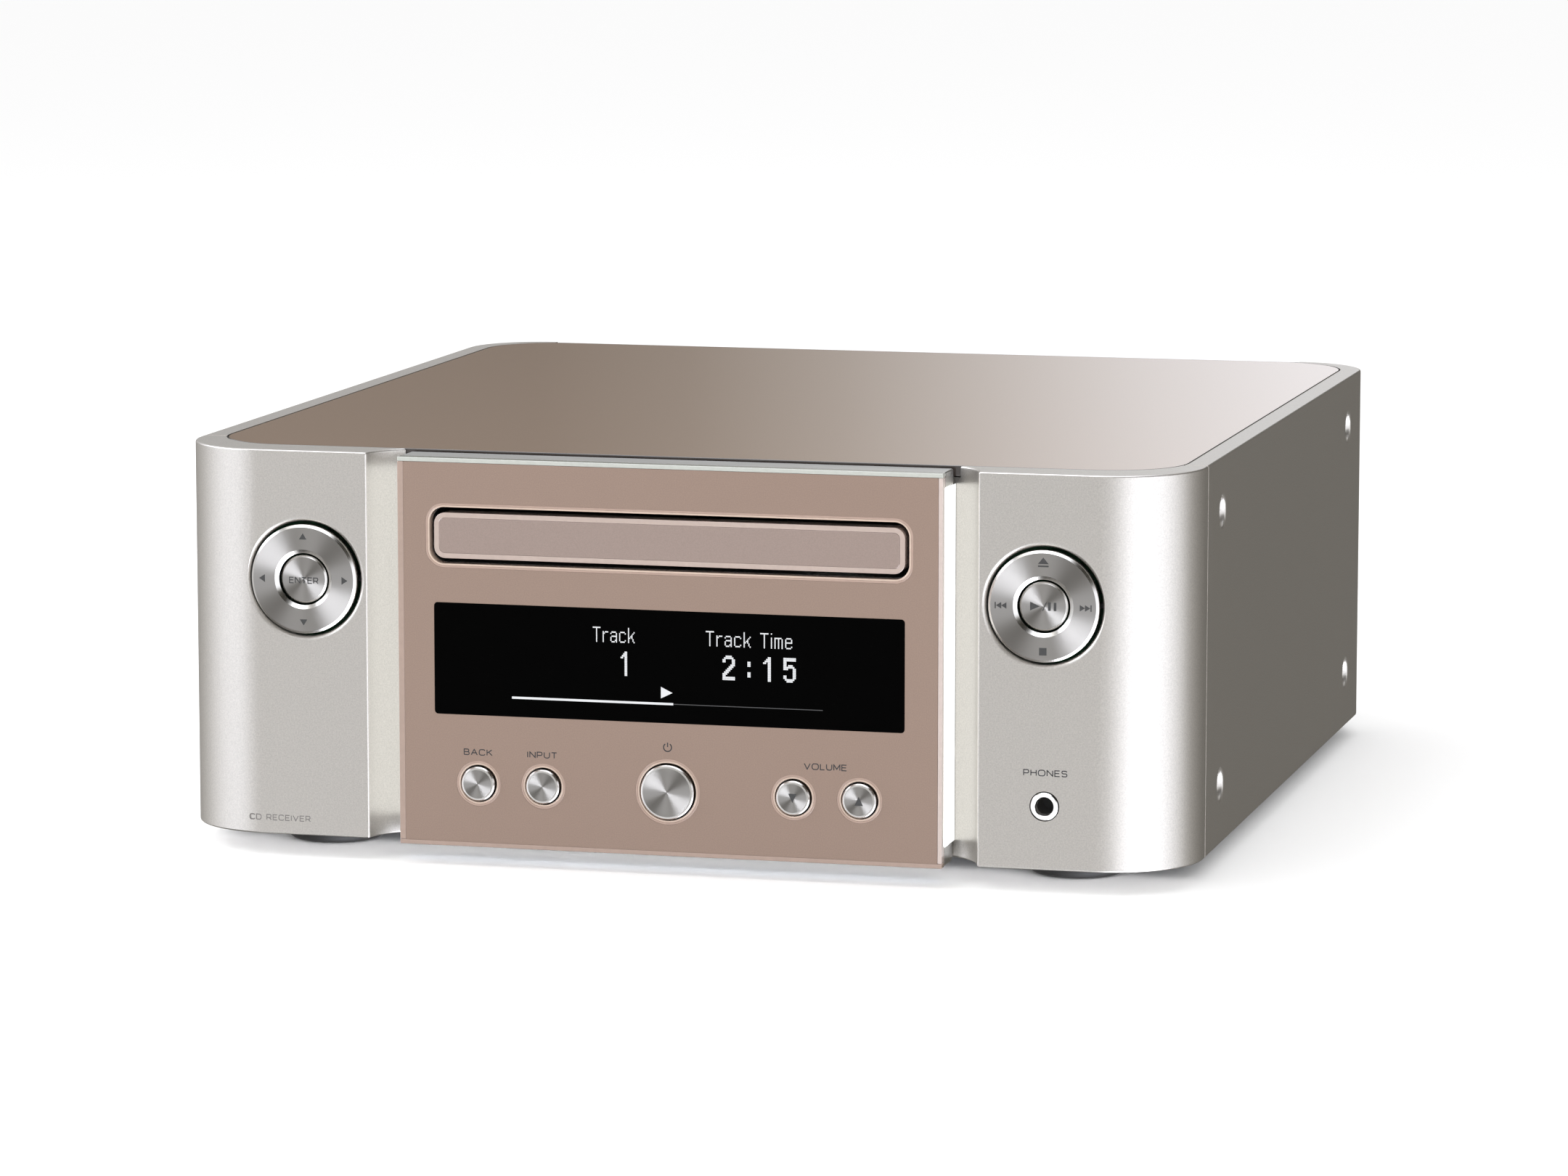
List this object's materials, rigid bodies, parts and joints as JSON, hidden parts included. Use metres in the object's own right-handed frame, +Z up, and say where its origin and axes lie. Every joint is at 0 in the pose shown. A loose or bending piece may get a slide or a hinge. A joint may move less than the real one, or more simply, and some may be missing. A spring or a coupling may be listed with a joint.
{
  "type": "cd receiver",
  "caption": "Compact disc receiver: silver case with rounded corners, brown glossy centre plate and top, sliding disc tray, display, round push keys and two rocking key rings.",
  "frame": {"origin": "middle of the outer box at the height of the surface that the feet stand on", "axes": "+Z up, -Y towards the front with the display, +X to the right of a person facing the front"},
  "size_m": [0.28, 0.303, 0.111],
  "materials": {
    "silver_case": "satin silver metallic paint on moulded plastic",
    "brown_plate": "clear acrylic with a warm brown metallic back coat",
    "door": "clear acrylic with a pinkish brown back coat",
    "brushed_block": "fine brushed, clear anodised",
    "spun_key": "spun face with a polished chamfer",
    "light_guide": "milky light guide, lit white",
    "display": "black glass over a white dot display",
    "black_steel": "black powder coat",
    "zinc_steel": "zinc plated",
    "foot_rubber": "matt black",
    "screw_steel": "bright nickel plate",
    "bright_metal": "nickel plate",
    "tray_plastic": "black moulded plastic",
    "loader_plastic": "dark grey moulded plastic",
    "white_plastic": "natural acetal",
    "belt_rubber": "smooth black rubber",
    "circuit_board": "green solder mask",
    "heat_sink": "grey anodised extrusion",
    "terminal_plastic": "black moulded plastic"
  },
  "bodies": {
    "cabinet": {"front_panel": "silver_case", "left_side_panel": "silver_case", "right_side_panel": "silver_case", "top_plate": "brown_plate", "front_window": "brown_plate", "front_block": "brushed_block", "light_guide_left": "light_guide", "light_guide_right": "light_guide", "display_module": "display", "bottom_chassis": "black_steel", "rear_panel": "black_steel", "top_cover": "zinc_steel", "clamp_bridge": "zinc_steel", "foot_front_left": "foot_rubber", "foot_front_right": "foot_rubber", "foot_rear_left": "foot_rubber", "foot_rear_right": "foot_rubber", "side_screw_left_1": "screw_steel", "side_screw_left_2": "screw_steel", "side_screw_left_3": "screw_steel", "side_screw_left_4": "screw_steel", "side_screw_right_1": "screw_steel", "side_screw_right_2": "screw_steel", "side_screw_right_3": "screw_steel", "side_screw_right_4": "screw_steel", "phones_jack": "bright_metal", "loading_motor": "bright_metal", "audio_jacks": "bright_metal", "network_jacks": "bright_metal", "loader_chassis": "loader_plastic", "loading_belt": "belt_rubber", "key_board": "circuit_board", "main_board": "circuit_board", "power_supply": "circuit_board", "heat_sink": "heat_sink", "speaker_terminals": "terminal_plastic", "power_inlet": "terminal_plastic"},
    "tray": {"tray_door": "door", "disc_tray": "tray_plastic"},
    "traverse": {"traverse_chassis": "zinc_steel", "spindle_motor": "bright_metal", "guide_rod": "bright_metal", "sled_motor": "bright_metal"},
    "turntable": {"turntable": "tray_plastic"},
    "clamper": {"clamper": "white_plastic"},
    "laser_sled": {"laser_sled": "loader_plastic"},
    "sled_screw": {"sled_screw": "bright_metal"},
    "loading_gear": {"loading_gear": "white_plastic"},
    "motor_pulley": {"motor_pulley": "white_plastic"},
    "cursor_carrier": {"cursor_carrier": "tray_plastic"},
    "cursor_ring": {"cursor_ring": "spun_key"},
    "enter_button": {"enter_button": "spun_key"},
    "transport_carrier": {"transport_carrier": "tray_plastic"},
    "transport_ring": {"transport_ring": "spun_key"},
    "play_button": {"play_button": "spun_key"},
    "back_button": {"back_button": "spun_key"},
    "input_button": {"input_button": "spun_key"},
    "power_button": {"power_button": "spun_key"},
    "volume_down_button": {"volume_down_button": "spun_key"},
    "volume_up_button": {"volume_up_button": "spun_key"}
  },
  "joints": [
    {"name": "tray_slide", "type": "slide", "parent": "cabinet", "child": "tray", "axis": [0, -1, 0], "range_m": [0, 0.135]},
    {"name": "traverse_tilt", "type": "hinge", "parent": "cabinet", "child": "traverse", "pos_m": [0, 0.014, 0.066], "axis": [1, 0, 0], "range_deg": [0, 4.5]},
    {"name": "turntable_spin", "type": "hinge", "parent": "traverse", "child": "turntable", "pos_m": [0, -0.078, 0.087], "axis": [0, 0, 1], "continuous": true},
    {"name": "clamper_spin", "type": "hinge", "parent": "cabinet", "child": "clamper", "pos_m": [0, -0.078, 0.099], "axis": [0, 0, 1], "continuous": true},
    {"name": "sled_slide", "type": "slide", "parent": "traverse", "child": "laser_sled", "axis": [0, 1, 0], "range_m": [0, 0.033]},
    {"name": "sled_screw_spin", "type": "hinge", "parent": "traverse", "child": "sled_screw", "pos_m": [-0.024, 0, 0.077], "axis": [0, 1, 0], "range_deg": [0, 3961]},
    {"name": "loading_gear_spin", "type": "hinge", "parent": "cabinet", "child": "loading_gear", "pos_m": [0.04, -0.114, 0.083], "axis": [0, 0, 1], "range_deg": [-645, 0]},
    {"name": "motor_pulley_spin", "type": "hinge", "parent": "cabinet", "child": "motor_pulley", "pos_m": [0, -0.117, 0.079], "axis": [0, 0, 1], "range_deg": [-3353, 0]},
    {"name": "cursor_tilt_up_down", "type": "hinge", "parent": "cabinet", "child": "cursor_carrier", "pos_m": [-0.1019, -0.1438, 0.0762], "axis": [1, 0, 0], "range_deg": [-2.5, 2.5], "stiffness_Nm_per_rad": 0.5},
    {"name": "cursor_tilt_left_right", "type": "hinge", "parent": "cursor_carrier", "child": "cursor_ring", "pos_m": [-0.1019, -0.1438, 0.0762], "axis": [0, 0, 1], "range_deg": [-2.5, 2.5], "stiffness_Nm_per_rad": 0.5},
    {"name": "enter_press", "type": "slide", "parent": "cabinet", "child": "enter_button", "axis": [0, 1, 0], "range_m": [0, 0.0008], "stiffness_N_per_m": 800},
    {"name": "transport_tilt_up_down", "type": "hinge", "parent": "cabinet", "child": "transport_carrier", "pos_m": [0.1019, -0.1438, 0.0762], "axis": [1, 0, 0], "range_deg": [-2.5, 2.5], "stiffness_Nm_per_rad": 0.5},
    {"name": "transport_tilt_left_right", "type": "hinge", "parent": "transport_carrier", "child": "transport_ring", "pos_m": [0.1019, -0.1438, 0.0762], "axis": [0, 0, 1], "range_deg": [-2.5, 2.5], "stiffness_Nm_per_rad": 0.5},
    {"name": "play_press", "type": "slide", "parent": "cabinet", "child": "play_button", "axis": [0, 1, 0], "range_m": [0, 0.0008], "stiffness_N_per_m": 800},
    {"name": "back_press", "type": "slide", "parent": "cabinet", "child": "back_button", "axis": [0, 1, 0], "range_m": [0, 0.001], "stiffness_N_per_m": 800},
    {"name": "input_press", "type": "slide", "parent": "cabinet", "child": "input_button", "axis": [0, 1, 0], "range_m": [0, 0.001], "stiffness_N_per_m": 800},
    {"name": "power_press", "type": "slide", "parent": "cabinet", "child": "power_button", "axis": [0, 1, 0], "range_m": [0, 0.001], "stiffness_N_per_m": 800},
    {"name": "volume_down_press", "type": "slide", "parent": "cabinet", "child": "volume_down_button", "axis": [0, 1, 0], "range_m": [0, 0.001], "stiffness_N_per_m": 800},
    {"name": "volume_up_press", "type": "slide", "parent": "cabinet", "child": "volume_up_button", "axis": [0, 1, 0], "range_m": [0, 0.001], "stiffness_N_per_m": 800}
  ],
  "couplings": [
    {"joint": "traverse_tilt", "follows": "tray_slide", "rad_per_m": 0.5817},
    {"joint": "loading_gear_spin", "follows": "tray_slide", "rad_per_m": -83.333},
    {"joint": "motor_pulley_spin", "follows": "tray_slide", "rad_per_m": -433.33},
    {"joint": "clamper_spin", "follows": "turntable_spin", "ratio": 1},
    {"joint": "sled_screw_spin", "follows": "sled_slide", "rad_per_m": 2094.4}
  ]
}
